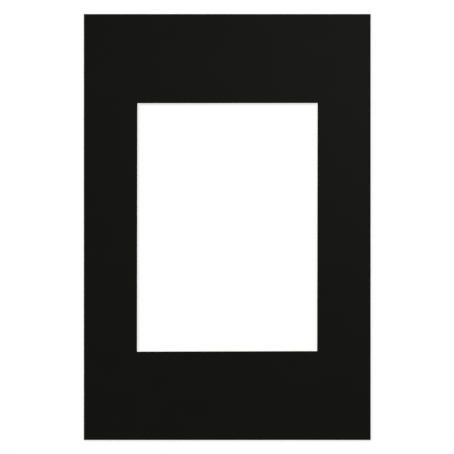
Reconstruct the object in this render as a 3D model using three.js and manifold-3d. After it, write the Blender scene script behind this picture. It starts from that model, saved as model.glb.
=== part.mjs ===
// Picture mount: a sheet of mount board with a bevel-cut window that frames a print.
// The board is a white core with a black facing paper laminated to its front.
//
// Millimetres, +Z up. The mount lies on its back, face up, with the top of the picture towards +Y.
// The origin is the middle of the back, so the back lies in the plane z = 0.

import * as THREE from "three";
import { mergeVertices } from "three/addons/utils/BufferGeometryUtils.js";
import Module from "manifold-3d";

const wasm = await Module();
wasm.setup();

// The sight opening is the window's size at the back of the board, where it laps over the print.
// These sizes lap 3 mm over each side, and 4 mm over the top and bottom, of a print of 130 x 180.
const SIGHT_WIDTH = 124;
const SIGHT_HEIGHT = 172;

// Borders, measured at the back from the sight opening to the outer edge.
const SIDE_BORDER = 39;
const TOP_BORDER = 64;
const BOTTOM_BORDER = 64;

// The board's layers. The facing paper is coloured right through, so the white of the cut starts
// at its underside.
const CORE_THICKNESS = 1.4;
const FACE_PAPER_THICKNESS = 0.2;

// The slope of the window's cut above the back, in degrees. It makes the window wider at the face.
const BEVEL_ANGLE = 45;

// How far the tool that cuts the window runs past the back and past the face.
const CUT_OVERRUN = 2;

const FACE_COLOUR = 0x181815;
const CORE_COLOUR = 0xf4f3ee;

// Sizes that follow from the ones above.
const mountWidth = SIGHT_WIDTH + 2 * SIDE_BORDER;
const mountHeight = SIGHT_HEIGHT + TOP_BORDER + BOTTOM_BORDER;
const boardThickness = CORE_THICKNESS + FACE_PAPER_THICKNESS;
const windowOffset = (BOTTOM_BORDER - TOP_BORDER) / 2;
const spreadPerHeight = 1 / Math.tan(THREE.MathUtils.degToRad(BEVEL_ANGLE));

// A closed geometry as a solid that can be cut.
function solidFrom(geometry) {
  const bare = geometry.clone();
  bare.deleteAttribute("normal");
  bare.deleteAttribute("uv");
  const merged = mergeVertices(bare);
  return new wasm.Manifold(
    new wasm.Mesh({
      numProp: 3,
      vertProperties: merged.getAttribute("position").array,
      triVerts: new Uint32Array(merged.index.array),
    }),
  );
}

// A cut solid as a geometry again, with flat faces.
function geometryFrom(solid) {
  const mesh = solid.getMesh();
  const indexed = new THREE.BufferGeometry();
  indexed.setAttribute("position", new THREE.BufferAttribute(mesh.vertProperties, mesh.numProp));
  indexed.setIndex(new THREE.BufferAttribute(mesh.triVerts, 1));
  const flat = indexed.toNonIndexed();
  flat.computeVertexNormals();
  return flat;
}

// A rectangle about the origin.
function rectangle(width, height) {
  const shape = new THREE.Shape();
  shape.moveTo(-width / 2, -height / 2);
  shape.lineTo(width / 2, -height / 2);
  shape.lineTo(width / 2, height / 2);
  shape.lineTo(-width / 2, height / 2);
  shape.closePath();
  return shape;
}

// The block that the window's cut takes out, in the mount's own frame.
// Its four sides slope from below the back to above the face, and pass z = 0 at the sight opening.
function windowBlock() {
  const slopeHeight = boardThickness + 2 * CUT_OVERRUN;
  const foot = rectangle(
    SIGHT_WIDTH - 2 * CUT_OVERRUN * spreadPerHeight,
    SIGHT_HEIGHT - 2 * CUT_OVERRUN * spreadPerHeight,
  );
  const block = new THREE.ExtrudeGeometry(foot, {
    depth: CUT_OVERRUN,
    bevelEnabled: true,
    bevelSegments: 1,
    bevelThickness: slopeHeight,
    bevelSize: slopeHeight * spreadPerHeight,
  });
  block.translate(0, windowOffset, slopeHeight - CUT_OVERRUN);
  return block;
}

// One layer of the board, from the height of its underside, with the window cut through it.
function layer(name, underside, thickness, material) {
  const sheet = new THREE.BoxGeometry(mountWidth, mountHeight, thickness);
  sheet.translate(0, 0, thickness / 2);
  const block = windowBlock();
  block.translate(0, 0, -underside);
  const mesh = new THREE.Mesh(geometryFrom(solidFrom(sheet).subtract(solidFrom(block))), material);
  mesh.name = name;
  mesh.position.z = underside;
  return mesh;
}

const facePaperMaterial = new THREE.MeshStandardMaterial({
  color: FACE_COLOUR,
  roughness: 0.9,
  metalness: 0,
});
const coreMaterial = new THREE.MeshStandardMaterial({
  color: CORE_COLOUR,
  roughness: 0.95,
  metalness: 0,
});

const pictureMount = new THREE.Group();
pictureMount.add(
  layer("core_board", 0, CORE_THICKNESS, coreMaterial),
  layer("face_paper", CORE_THICKNESS, FACE_PAPER_THICKNESS, facePaperMaterial),
);

export default pictureMount;
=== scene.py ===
# A black picture mount with a bevelled window, lying face up. Metres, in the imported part's frame.

import math

import bpy
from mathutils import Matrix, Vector, noise


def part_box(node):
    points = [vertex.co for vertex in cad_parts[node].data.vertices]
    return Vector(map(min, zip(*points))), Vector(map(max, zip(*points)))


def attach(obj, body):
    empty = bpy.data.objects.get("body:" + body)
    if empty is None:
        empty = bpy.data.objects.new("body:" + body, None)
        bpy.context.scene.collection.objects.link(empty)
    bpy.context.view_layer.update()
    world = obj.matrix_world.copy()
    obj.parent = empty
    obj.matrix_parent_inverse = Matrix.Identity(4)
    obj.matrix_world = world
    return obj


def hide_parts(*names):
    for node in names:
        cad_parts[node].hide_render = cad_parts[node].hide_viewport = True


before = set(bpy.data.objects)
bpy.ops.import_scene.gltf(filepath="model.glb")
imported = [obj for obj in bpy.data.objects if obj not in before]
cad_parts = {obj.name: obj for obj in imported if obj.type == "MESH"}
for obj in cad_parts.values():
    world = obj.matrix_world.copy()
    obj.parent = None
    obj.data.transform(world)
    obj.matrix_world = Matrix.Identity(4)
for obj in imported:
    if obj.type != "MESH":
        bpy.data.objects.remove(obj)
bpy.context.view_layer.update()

MM = 0.001
# Places nearer to each other than this are the same but for rounding, in metres.
TINY = 1e-6

# The photograph's framing, in its own pixels.
PHOTO_SIDE_PX = 454
MOUNT_LENGTH_PX = 426.075
MOUNT_CENTRE_PX = (227.26, 227.01)

# The camera's lens and the width of its sensor, in millimetres. The lens is long, because the
# photograph shows no perspective.
LENS = 100
SENSOR = 36

# Fine shapes. Lengths are in metres.
STEP_ALONG = 1.5 * MM
ARRIS = 0.10 * MM
ARRIS_STEPS = 4
SUPPORT = 0.40 * MM
TIP_BLUNTING = 0.10 * MM
BLADE_WANDER = 0.030 * MM
BLADE_WAVELENGTH = 22 * MM
TRIM_WANDER = 0.015 * MM
CORNER_FADE = 4 * MM
# How far each corner of the hand-cut window strays from its place, by the corner's signs in x, y.
CORNER_STRAY = {
    (-1, 1): (0.13 * MM, -0.25 * MM),
    (1, 1): (0.19 * MM, -0.14 * MM),
    (-1, -1): (-0.13 * MM, -0.35 * MM),
    (1, -1): (-0.12 * MM, 0.03 * MM),
}
PLIES = 3
PLY_GROOVE = 0.012 * MM
PLY_GROOVE_WIDTH = 0.05 * MM
BURR = 0.010 * MM
# Edges that turn by more than this are shaded as edges, in degrees.
SHARP_ANGLE = 35
# Where in the noise the cuts find their wander: apart for each side and for each kind of edge.
NOISE_ROW = 7.3
TRIM_SEED = 1
CUT_SEED = 2

# The layout of the map that textures are baked through. The piece's seen flat face is largest, its
# hidden one lies in the first one's window, and the cut edges stand beside them as upright strips,
# stretched across so that their narrow bands get room. The two scales are per metre, the least
# width that a band is drawn with is in metres, and the rest are shares of the map's side.
FLAT_SCALE = 3.2
FLAT_CENTRE = (0.333, 0.5)
HIDDEN_SCALE = 1.78
STRIPS_START = 0.68
STRIP_PITCH = 0.0388
STRIP_WIDTH = 0.033
STRIP_FOOT = 0.01
STRIP_LENGTH = 0.98
LEAST_BAND = 0.1 * MM

# Colours, linear.
FACE_DARK = (0.0026, 0.0030, 0.0017)
FACE_LIGHT = (0.0034, 0.0037, 0.0023)
CORE_WHITE = (0.920, 0.918, 0.902)
CORE_SHADE = (0.860, 0.855, 0.825)
LINING_WHITE = (0.860, 0.850, 0.815)
FLOOR_WHITE = (0.88, 0.88, 0.88)

# Textures. Noise scales are per metre, bumps are in metres, and turns are in radians.
PAPER_CLOUD = 60.0
PAPER_TOOTH = 2600.0
PAPER_BUMP = 0.012 * MM
PAPER_ROUGHNESS = (0.42, 0.50)
PAPER_SPECULAR = 0.06
FIBRE_FINENESS = 2700.0
FIBRE_STRETCH = 9.0
FIBRE_TURNS = (0.25, 1.35, 2.4)
FIBRE_RANGE = (0.56, 0.72)
CORE_STREAKS = 6000.0
CORE_COMBING = 0.12
CORE_PULP = 5000.0
CORE_DRIFT = 45.0
CORE_BUMP = 0.015 * MM
CORE_ROUGHNESS = (0.85, 0.95)
CORE_SPECULAR = 0.2
BACK_CLOUD = 90.0
BACK_TOOTH = 3000.0
BACK_BUMP = 0.008 * MM
BACK_ROUGHNESS = (0.8, 0.9)
BACK_SPECULAR = 0.25

# Light levels. 1 renders a white surface as white.
SKY_LEVEL = 0.79
KEY_LEVEL = 0.16
SIDE_LEVEL = 0.11
# The key lamp's place and the side of its square, in metres.
KEY_PLACE = (0.33, 0.32, 1.30)
KEY_SIZE = 0.45
# Where the side lamp's light comes from, and how wide it is, in degrees.
SIDE_PLACE = (-0.90, 0.80, 0.90)
SIDE_SPREAD = 30
# What the floor adds to its own light for the camera: little round the mount, where it takes the
# mount's shadow, and more far off, where the near lamp doesn't reach.
NEAR_GLOW = 0.09
FAR_GLOW = 0.21
NEAR_RADIUS = 0.25
FAR_RADIUS = 1.60
# Half the floor's side, in metres.
FLOOR_HALF = 20


# Sizes that come from the frame.
core_low, core_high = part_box("core_board")
paper_low, paper_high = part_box("face_paper")
outer_half = (core_high.x, core_high.y)


def window_half(node, height):
    """Half the width and half the length of a node's window, at a height where it has corners."""
    corners = [v.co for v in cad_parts[node].data.vertices if abs(v.co.z - height) < TINY]
    inner = [c for c in corners if abs(c.x) < outer_half[0] - TINY]
    return max(abs(c.x) for c in inner), max(abs(c.y) for c in inner)


sight_half = window_half("core_board", core_low.z)
shoulder_half = window_half("core_board", core_high.z)
face_half = window_half("face_paper", paper_high.z)


# Sheets with a window, built as rings of points.

SIDES = ((0, -1), (1, 0), (0, 1), (-1, 0))


def side_points(half, count_x, count_y):
    """The points of one rectangular ring, anticlockwise, as (x, y, outward direction, share along)."""
    points = []
    for out_x, out_y in SIDES:
        count = count_x if out_x == 0 else count_y
        for i in range(count):
            share = i / count
            run = 2 * share - 1
            x = half[0] * (out_x - out_y * run)
            y = half[1] * (out_y + out_x * run)
            points.append((x, y, (out_x, out_y), share))
    return points


def wander(r, side, distance, length):
    """How far a ring of a cut strays at a distance along a side. It is 0 at the corners."""
    if r["stray"] == 0:
        return 0
    fade = min(1, distance / CORNER_FADE, (length - distance) / CORNER_FADE)
    place = Vector((distance / BLADE_WAVELENGTH, NOISE_ROW * side, r["seed"]))
    return r["stray"] * fade * noise.noise(place)


def corner_stray(run_x, run_y):
    """How far the window's cut strays at a place whose distance from its middle is given in halves."""
    stray_x = stray_y = 0
    for (sign_x, sign_y), (corner_x, corner_y) in CORNER_STRAY.items():
        share = (1 + sign_x * run_x) * (1 + sign_y * run_y) / 4
        stray_x += share * corner_x
        stray_y += share * corner_y
    return stray_x, stray_y


def ring(half, height, out, stray, seed, window=False):
    """A rectangle round the window at a height. out moves it outwards from half."""
    return {
        "half": (half[0] + out, half[1] + out),
        "height": height,
        "stray": stray,
        "seed": seed,
        "window": window,
    }


def cut_ring(half, height, out=0.0, stray=BLADE_WANDER):
    """A ring of the window's cut, which strays as the blade did."""
    return ring(half, height, out, stray, seed=CUT_SEED, window=True)


def trim_ring(height, out=0.0, stray=TRIM_WANDER):
    """A ring of the outer edge."""
    return ring(outer_half, height, out, stray, seed=TRIM_SEED)


def banded_mesh(name, rings, surfaces, seen_height):
    """A closed mesh through the rings in turn and back to the first.

    surfaces gives the material of the band that starts at each ring. seen_height is the height of
    the flat face that isn't glued to the other piece.
    """
    count_x = round(2 * outer_half[0] / STEP_ALONG)
    count_y = round(2 * outer_half[1] / STEP_ALONG)
    around = 2 * (count_x + count_y)
    vertices = []
    for r in rings:
        for x, y, (out_x, out_y), share in side_points(r["half"], count_x, count_y):
            side = SIDES.index((out_x, out_y))
            length = 2 * (r["half"][0] if out_x == 0 else r["half"][1])
            off = wander(r, side, share * length, length)
            skew = corner_stray(x / r["half"][0], y / r["half"][1]) if r["window"] else (0, 0)
            vertices.append((x + off * out_x + skew[0], y + off * out_y + skew[1], r["height"]))
    faces = []
    indices = []
    for band in range(len(rings)):
        here = band * around
        there = (band + 1) % len(rings) * around
        for i in range(around):
            j = (i + 1) % around
            faces.append((here + i, here + j, there + j, there + i))
            indices.append(surfaces[band])
    mesh = bpy.data.meshes.new(name)
    mesh.from_pydata(vertices, [], faces)
    mesh.polygons.foreach_set("material_index", indices)
    mesh.polygons.foreach_set("use_smooth", [True] * len(faces))
    mesh.update()
    mesh.set_sharp_from_angle(angle=math.radians(SHARP_ANGLE))
    add_cut_map(mesh, rings, around)
    add_bake_map(mesh, rings, vertices, (count_x, count_y, count_x, count_y), seen_height)
    piece = bpy.data.objects.new(name, mesh)
    bpy.context.scene.collection.objects.link(piece)
    return piece


def band_width(a, b):
    """The distance between two rings, on the left and right sides."""
    return math.hypot(a["half"][0] - b["half"][0], a["height"] - b["height"])


def add_cut_map(mesh, rings, around):
    """A map in metres: the distance along the outline, and the distance across the bands."""
    across = [0.0]
    for a, b in zip(rings, rings[1:] + rings[:1]):
        across.append(across[-1] + band_width(a, b))
    perimeter = 4 * (outer_half[0] + outer_half[1])
    cut_map = mesh.uv_layers.new(name="cut")
    values = []
    for band in range(len(rings)):
        for i in range(around):
            low = i / around * perimeter
            high = (i + 1) / around * perimeter
            values += [low, across[band], high, across[band]]
            values += [high, across[band + 1], low, across[band + 1]]
    cut_map.uv.foreach_set("vector", values)


def add_bake_map(mesh, rings, vertices, counts, seen_height):
    """The map for baked textures. counts gives the faces along each side of the rectangle."""
    around = sum(counts)
    bands = list(zip(rings, rings[1:] + rings[:1]))
    low = min(r["height"] for r in rings)
    strips = strip_places(bands)
    values = []
    for band, (a, b) in enumerate(bands):
        if is_flat(a, b):
            scale = FLAT_SCALE if is_level(a["height"], seen_height) else HIDDEN_SCALE
            flip = -1 if is_level(a["height"], low) else 1
            first = band * around
            after = (band + 1) % len(rings) * around
            values += flat_map(vertices, first, after, around, scale, flip)
        else:
            values += strip_map(*strips[band], counts)
    bake_map = mesh.uv_layers.new(name="OFBake")
    bake_map.uv.foreach_set("vector", values)


def flat_map(vertices, first, after, around, scale, flip):
    """A flat band seen square on. first and after are where its two rings start in vertices."""
    values = []
    for i in range(around):
        j = (i + 1) % around
        for corner in (first + i, first + j, after + j, after + i):
            x, y, _ = vertices[corner]
            values += [FLAT_CENTRE[0] + flip * scale * x, FLAT_CENTRE[1] + scale * y]
    return values


def strip_map(number, near, far, counts):
    """A narrow band as one upright strip for each side. near and far are shares of a strip's width."""
    values = []
    for side, count in enumerate(counts):
        foot = STRIPS_START + (len(counts) * number + side) * STRIP_PITCH
        left = foot + near * STRIP_WIDTH
        right = foot + far * STRIP_WIDTH
        for i in range(count):
            top = STRIP_FOOT + STRIP_LENGTH * (1 - i / count)
            bottom = STRIP_FOOT + STRIP_LENGTH * (1 - (i + 1) / count)
            values += [left, top, left, bottom, right, bottom, right, top]
    return values


def strip_places(bands):
    """Where each narrow band lies: its run's number, and the shares of the run before and after it.

    The narrow bands are one run at the outer edge and one at the window.
    """
    places = {}
    for number, at_window in enumerate((False, True)):
        run = [k for k, (a, b) in enumerate(bands) if not is_flat(a, b) and a["window"] == at_window]
        spans = [max(band_width(*bands[k]), LEAST_BAND) for k in run]
        total = sum(spans)
        for i, k in enumerate(run):
            near = sum(spans[:i]) / total
            places[k] = (number, near, near + spans[i] / total)
    return places


def is_level(height, other):
    """Whether two heights are the same but for rounding."""
    return abs(height - other) < TINY


def is_flat(a, b):
    return is_level(a["height"], b["height"])


def quarter(steps):
    """Points of a quarter circle as (share of the radius in, share of the radius up)."""
    turns = [math.pi / 2 * i / steps for i in range(steps + 1)]
    return [(1 - math.cos(t), math.sin(t)) for t in turns]


def face_paper():
    """The black facing paper: soft outer arris where it was trimmed, crisp cut round the window."""
    low, high = paper_low.z, paper_high.z
    rings = [trim_ring(low)]
    for inwards, up in quarter(ARRIS_STEPS):
        rings.append(trim_ring(high - ARRIS + ARRIS * up, out=-ARRIS * inwards))
    rings.append(trim_ring(high, out=-ARRIS - SUPPORT, stray=0))
    rings.append(cut_ring(face_half, high, out=SUPPORT, stray=0))
    rings.append(cut_ring(face_half, high, out=2 * BURR))
    rings.append(cut_ring(face_half, high - 2 * BURR))
    rings.append(cut_ring(shoulder_half, low))
    return banded_mesh("mount_face_paper", rings, [0] * len(rings), high)


def core_board():
    """The white core: a faintly layered cut at the window and at the outer edge."""
    low, high = core_low.z, core_high.z
    rings = [trim_ring(low, out=-ARRIS / 2, stray=0), trim_ring(low + ARRIS / 2, stray=0)]
    joints = [low + (high - low) * k / PLIES for k in range(1, PLIES)]
    for joint in joints:
        for offset, depth in ((-1, 0), (0, PLY_GROOVE), (1, 0)):
            height = joint + offset * PLY_GROOVE_WIDTH / 2
            rings.append(trim_ring(height, out=-depth))
    rings.append(trim_ring(high))
    rings.append(cut_ring(shoulder_half, high))
    for joint in reversed(joints):
        for offset, depth in ((1, 0), (0, PLY_GROOVE), (-1, 0)):
            height = joint + offset * PLY_GROOVE_WIDTH / 2
            rings.append(cut_ring(half_at(height), height, out=depth))
    tip = low + TIP_BLUNTING
    rings.append(cut_ring(half_at(tip), tip))
    rings.append(cut_ring(half_at(tip), low + TIP_BLUNTING / 3))
    rings.append(cut_ring(half_at(tip), low, out=TIP_BLUNTING / 2))
    rings.append(cut_ring(half_at(tip), low, out=TIP_BLUNTING / 2 + SUPPORT, stray=0))
    surfaces = [0] * (len(rings) - 2) + [1, 1]
    return banded_mesh("mount_core", rings, surfaces, low)


def half_at(height):
    """Half the window's width and length on the bevel at a height of the core."""
    share = (height - core_low.z) / (core_high.z - core_low.z)
    return tuple(s + (t - s) * share for s, t in zip(sight_half, shoulder_half))


# Materials.


class Nodes:
    """A few shorthands for building one node tree."""

    def __init__(self, tree):
        self.tree = tree

    def add(self, kind, inputs=None, **settings):
        node = self.tree.nodes.new(kind)
        for key, value in settings.items():
            setattr(node, key, value)
        for key, value in (inputs or {}).items():
            if isinstance(value, bpy.types.NodeSocket):
                self.tree.links.new(value, node.inputs[key])
            else:
                node.inputs[key].default_value = value
        return node

    def maths(self, operation, a, b=0.0, clamp=False):
        node = self.add("ShaderNodeMath", {0: a, 1: b}, operation=operation, use_clamp=clamp)
        return node.outputs[0]

    def noise(self, vector, scale, detail=2.0, roughness=0.5):
        inputs = {"Vector": vector, "Scale": scale, "Detail": detail, "Roughness": roughness}
        return self.add("ShaderNodeTexNoise", inputs).outputs["Fac"]

    def remap(self, value, low, high, to_low=0.0, to_high=1.0):
        inputs = {
            "Value": value,
            "From Min": low,
            "From Max": high,
            "To Min": to_low,
            "To Max": to_high,
        }
        return self.add("ShaderNodeMapRange", inputs).outputs["Result"]

    def blend(self, share, a, b):
        inputs = {"Factor": share, "A": (*a, 1.0), "B": (*b, 1.0)}
        node = self.add("ShaderNodeMix", data_type="RGBA")
        for name, value in inputs.items():
            socket = next(
                s
                for s in node.inputs
                if s.name == name and (s.type == "RGBA" or (name == "Factor" and s.type == "VALUE"))
            )
            if isinstance(value, bpy.types.NodeSocket):
                self.tree.links.new(value, socket)
            else:
                socket.default_value = value
        return next(s for s in node.outputs if s.type == "RGBA")

    def stretched(self, vector, turn, stretch):
        inputs = {"Vector": vector, "Rotation": (0, 0, turn), "Scale": (1, stretch, 1)}
        return self.add("ShaderNodeMapping", inputs, vector_type="TEXTURE").outputs[0]


def new_material(name):
    material = bpy.data.materials.new(name)
    material.use_nodes = True
    material.node_tree.nodes.clear()
    return material, Nodes(material.node_tree)


def finish_surface(nodes, colour, roughness, height, bump_distance, specular):
    bump = nodes.add(
        "ShaderNodeBump", {"Height": height, "Strength": 1.0, "Distance": bump_distance}
    )
    surface = nodes.add(
        "ShaderNodeBsdfPrincipled",
        {
            "Base Color": colour,
            "Roughness": roughness,
            "Normal": bump.outputs[0],
            "Specular IOR Level": specular,
        },
    )
    nodes.add("ShaderNodeOutputMaterial", {"Surface": surface.outputs[0]})


def black_paper():
    """Matt black paper, coloured right through, with short fibres and a faint cloudiness."""
    material, nodes = new_material("black_paper")
    place = nodes.add("ShaderNodeTexCoord").outputs["Object"]
    cloud = nodes.noise(place, PAPER_CLOUD, 3.0)
    tooth = nodes.noise(place, PAPER_TOOTH, 3.0, 0.6)
    fibres = None
    for turn in FIBRE_TURNS:
        strands = nodes.noise(nodes.stretched(place, turn, FIBRE_STRETCH), FIBRE_FINENESS)
        strands = nodes.remap(strands, *FIBRE_RANGE)
        fibres = strands if fibres is None else nodes.maths("MAXIMUM", fibres, strands)
    share = nodes.maths("MULTIPLY", nodes.remap(cloud, 0.3, 0.7), 0.5)
    share = nodes.maths("ADD", share, nodes.maths("MULTIPLY", fibres, 0.5), clamp=True)
    colour = nodes.blend(share, FACE_DARK, FACE_LIGHT)
    roughness = nodes.remap(tooth, 0.3, 0.7, *PAPER_ROUGHNESS)
    height = nodes.maths("ADD", tooth, nodes.maths("MULTIPLY", fibres, 0.6))
    finish_surface(nodes, colour, roughness, height, PAPER_BUMP, PAPER_SPECULAR)
    return material


def white_core():
    """The cut face of the core: soft white pulp, combed a little along the blade's path."""
    material, nodes = new_material("white_core")
    cut = nodes.add("ShaderNodeUVMap", uv_map="cut").outputs[0]
    combed = nodes.add(
        "ShaderNodeMapping", {"Vector": cut, "Scale": (CORE_COMBING, 1.0, 1.0)}
    ).outputs[0]
    streaks = nodes.noise(combed, CORE_STREAKS, 3.0, 0.6)
    place = nodes.add("ShaderNodeTexCoord").outputs["Object"]
    pulp = nodes.noise(place, CORE_PULP, 3.0, 0.6)
    drift = nodes.noise(place, CORE_DRIFT)
    share = nodes.maths("MULTIPLY", nodes.remap(streaks, 0.35, 0.75), 0.5)
    share = nodes.maths("ADD", share, nodes.maths("MULTIPLY", nodes.remap(drift, 0.3, 0.8), 0.25))
    colour = nodes.blend(share, CORE_WHITE, CORE_SHADE)
    height = nodes.maths("ADD", streaks, nodes.maths("MULTIPLY", pulp, 0.7))
    roughness = nodes.remap(pulp, 0.3, 0.7, *CORE_ROUGHNESS)
    finish_surface(nodes, colour, roughness, height, CORE_BUMP, CORE_SPECULAR)
    return material


def plain_back():
    """The back of the board: smooth uncoated white paper."""
    material, nodes = new_material("plain_back")
    place = nodes.add("ShaderNodeTexCoord").outputs["Object"]
    cloud = nodes.noise(place, BACK_CLOUD, 4.0)
    tooth = nodes.noise(place, BACK_TOOTH, 3.0, 0.6)
    share = nodes.maths("MULTIPLY", nodes.remap(cloud, 0.35, 0.7), 0.4)
    colour = nodes.blend(share, LINING_WHITE, CORE_SHADE)
    roughness = nodes.remap(tooth, 0.3, 0.7, *BACK_ROUGHNESS)
    finish_surface(nodes, colour, roughness, tooth, BACK_BUMP, BACK_SPECULAR)
    return material


def floor_material():
    """White card under the mount: it takes shadows, and looks white to the camera where it is open."""
    material, nodes = new_material("floor_white")
    ray = nodes.add("ShaderNodeLightPath")
    seen = nodes.maths("ADD", ray.outputs["Is Camera Ray"], ray.outputs["Is Glossy Ray"])
    seen = nodes.maths("ADD", seen, ray.outputs["Is Transmission Ray"], clamp=True)
    card = nodes.add("ShaderNodeBsdfDiffuse", {"Color": (*FLOOR_WHITE, 1.0)})
    place = nodes.add("ShaderNodeTexCoord").outputs["Object"]
    radius = nodes.add("ShaderNodeVectorMath", {0: place}, operation="LENGTH").outputs["Value"]
    level = nodes.remap(radius, NEAR_RADIUS, FAR_RADIUS, NEAR_GLOW, FAR_GLOW)
    glow = nodes.add(
        "ShaderNodeEmission",
        {"Color": (1, 1, 1, 1), "Strength": nodes.maths("MULTIPLY", seen, level)},
    )
    both = nodes.add("ShaderNodeAddShader", {0: card.outputs[0], 1: glow.outputs[0]})
    nodes.add("ShaderNodeOutputMaterial", {"Surface": both.outputs[0]})
    return material


# The setting.


def make_camera():
    """Looks straight down on the mount, with the top of the picture up."""
    metres_per_px = (core_high.y - core_low.y) / MOUNT_LENGTH_PX
    picture_width = PHOTO_SIDE_PX * metres_per_px
    distance = picture_width * LENS / SENSOR
    right = (MOUNT_CENTRE_PX[0] - PHOTO_SIDE_PX / 2) * metres_per_px
    down = (MOUNT_CENTRE_PX[1] - PHOTO_SIDE_PX / 2) * metres_per_px
    data = bpy.data.cameras.new("camera")
    data.lens = LENS
    data.sensor_width = SENSOR
    data.clip_start = 0.01
    camera = bpy.data.objects.new("camera", data)
    camera.location = (-right, down, paper_high.z + distance)
    bpy.context.scene.collection.objects.link(camera)
    bpy.context.scene.camera = camera


def make_world():
    """An even white sky, which lights the mount a little below white."""
    world = bpy.data.worlds.new("sky")
    world.use_nodes = True
    world.node_tree.nodes.clear()
    nodes = Nodes(world.node_tree)
    ray = nodes.add("ShaderNodeLightPath").outputs["Is Camera Ray"]
    level = nodes.remap(ray, 0.0, 1.0, SKY_LEVEL, 1.0)
    sky = nodes.add("ShaderNodeBackground", {"Color": (1, 1, 1, 1), "Strength": level})
    nodes.add("ShaderNodeOutputWorld", {"Surface": sky.outputs[0]})
    bpy.context.scene.world = world


def soft_light(name, place, size, level):
    """A square lamp aimed at the mount's middle. level is what it adds to a flat white surface."""
    place = Vector(place)
    slant = place.z / place.length
    data = bpy.data.lights.new(name, "AREA")
    data.shape = "SQUARE"
    data.size = size
    data.energy = level * math.pi**2 * place.length_squared / slant
    lamp = bpy.data.objects.new(name, data)
    lamp.location = place
    lamp.rotation_euler = (-place).to_track_quat("-Z", "Y").to_euler()
    bpy.context.scene.collection.objects.link(lamp)


def far_light(name, place, spread, level):
    """A lamp so far off that it lights the whole floor alike. spread is its width in degrees."""
    place = Vector(place)
    data = bpy.data.lights.new(name, "SUN")
    data.angle = math.radians(spread)
    data.energy = level * math.pi * place.length / place.z
    lamp = bpy.data.objects.new(name, data)
    lamp.rotation_euler = (-place).to_track_quat("-Z", "Y").to_euler()
    bpy.context.scene.collection.objects.link(lamp)


def make_floor():
    half = FLOOR_HALF
    mesh = bpy.data.meshes.new("floor")
    corners = [(-half, -half, 0), (half, -half, 0), (half, half, 0), (-half, half, 0)]
    mesh.from_pydata(corners, [], [(0, 1, 2, 3)])
    mesh.materials.append(floor_material())
    floor = bpy.data.objects.new("floor", mesh)
    bpy.context.scene.collection.objects.link(floor)


make_camera()
make_world()
soft_light("key", KEY_PLACE, KEY_SIZE, KEY_LEVEL)
far_light("side", SIDE_PLACE, SIDE_SPREAD, SIDE_LEVEL)
make_floor()
bpy.context.scene.view_settings.view_transform = "Standard"

paper = face_paper()
paper.data.materials.append(black_paper())
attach(paper, "root")
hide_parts("face_paper")

core = core_board()
core.data.materials.append(white_core())
core.data.materials.append(plain_back())
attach(core, "root")
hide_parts("core_board")
